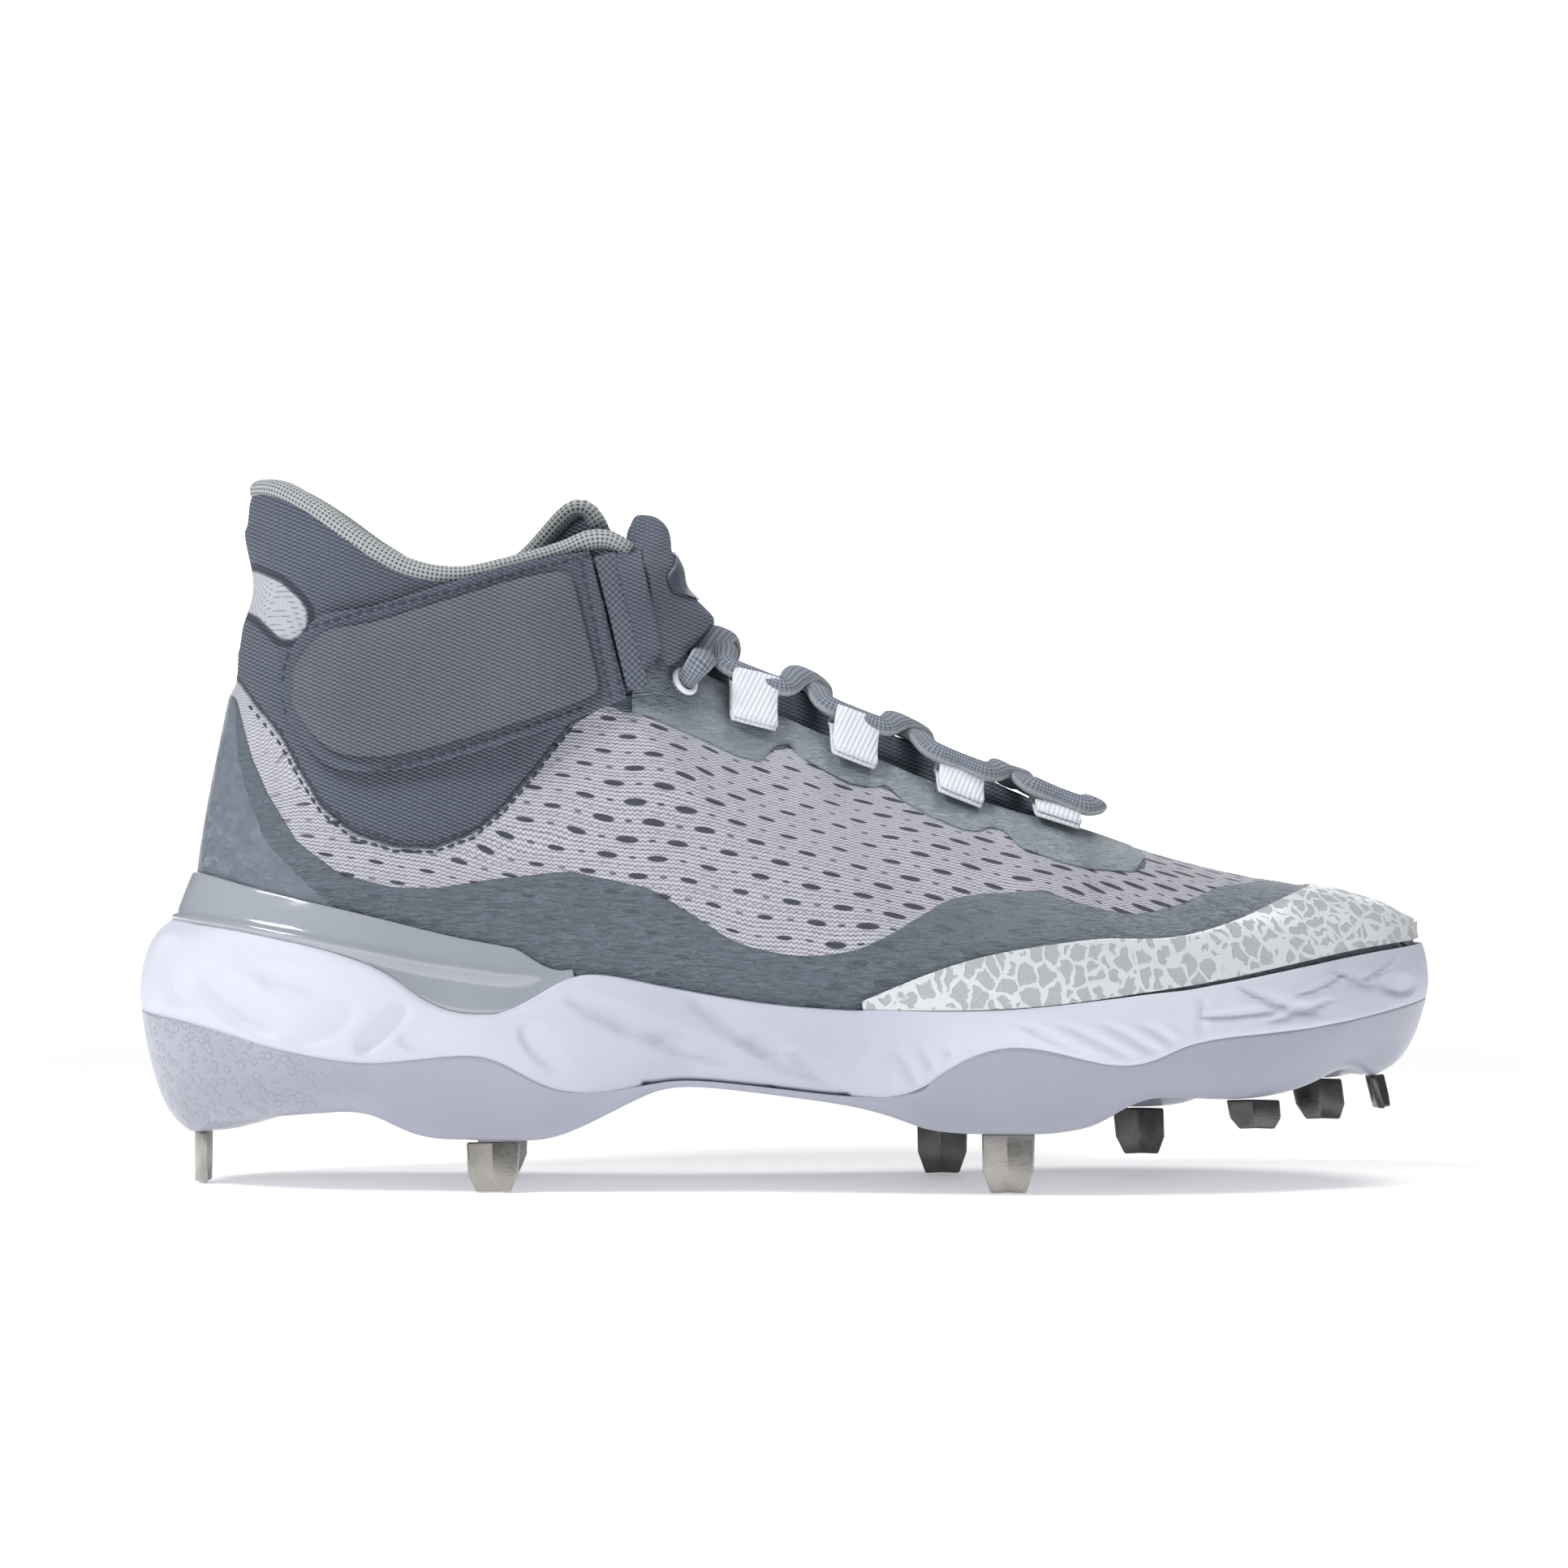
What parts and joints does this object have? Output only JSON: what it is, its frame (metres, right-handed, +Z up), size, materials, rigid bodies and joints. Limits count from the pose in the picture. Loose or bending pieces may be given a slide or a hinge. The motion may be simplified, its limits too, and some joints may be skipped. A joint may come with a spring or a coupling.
{
  "type": "baseball cleat",
  "caption": "Right mid-height baseball cleat: knit upper over a foam midsole and hard plate with metal spikes, flat laces in webbing loops and a padded hook-and-loop ankle strap.",
  "frame": {"origin": "floor level under the middle of the shoe's bounding box; the spikes' tips stand on z = 0", "axes": "+X from heel to toe, +Y to the inner (medial) side of this right shoe, +Z up"},
  "size_m": [0.2999, 0.1041, 0.161],
  "materials": {
    "plate": "satin",
    "foam": "matte",
    "lining": "matte",
    "knit": "matte",
    "clip": "gloss",
    "guard": "satin",
    "film": "satin",
    "padded": "matte",
    "webbing": "matte",
    "eyelet": "matte",
    "lace": "matte",
    "steel": "polished"
  },
  "bodies": {
    "root": {"outsole": "plate", "midsole": "foam", "insole": "lining", "upper": "knit", "heel_clip": "clip", "toe_guard": "guard", "eyestay": "film", "tongue": "padded", "ankle_panel": "padded", "badge": "film", "strap_tab": "padded", "strap_pad": "padded", "strap_webbing": "padded", "strap_anchor": "padded", "spike_heel_back": "steel", "spike_heel_lateral": "steel", "spike_heel_medial": "steel", "spike_ball_lateral": "steel", "spike_ball_medial": "steel", "spike_fore_medial": "steel", "spike_fore_lateral": "steel", "spike_toe_medial": "steel", "spike_toe_front": "steel", "lace_loop_lateral_1": "webbing", "lace_loop_lateral_2": "webbing", "lace_loop_lateral_3": "webbing", "lace_loop_lateral_4": "webbing", "lace_loop_medial_1": "webbing", "lace_loop_medial_2": "webbing", "lace_loop_medial_3": "webbing", "lace_loop_medial_4": "webbing", "ring_eyelet_lateral": "eyelet", "ring_eyelet_medial": "eyelet", "lace_crossing_1": "lace", "lace_crossing_2": "lace", "lace_crossing_3": "lace", "lace_crossing_4": "lace", "lace_bar": "lace"}
  },
  "joints": []
}
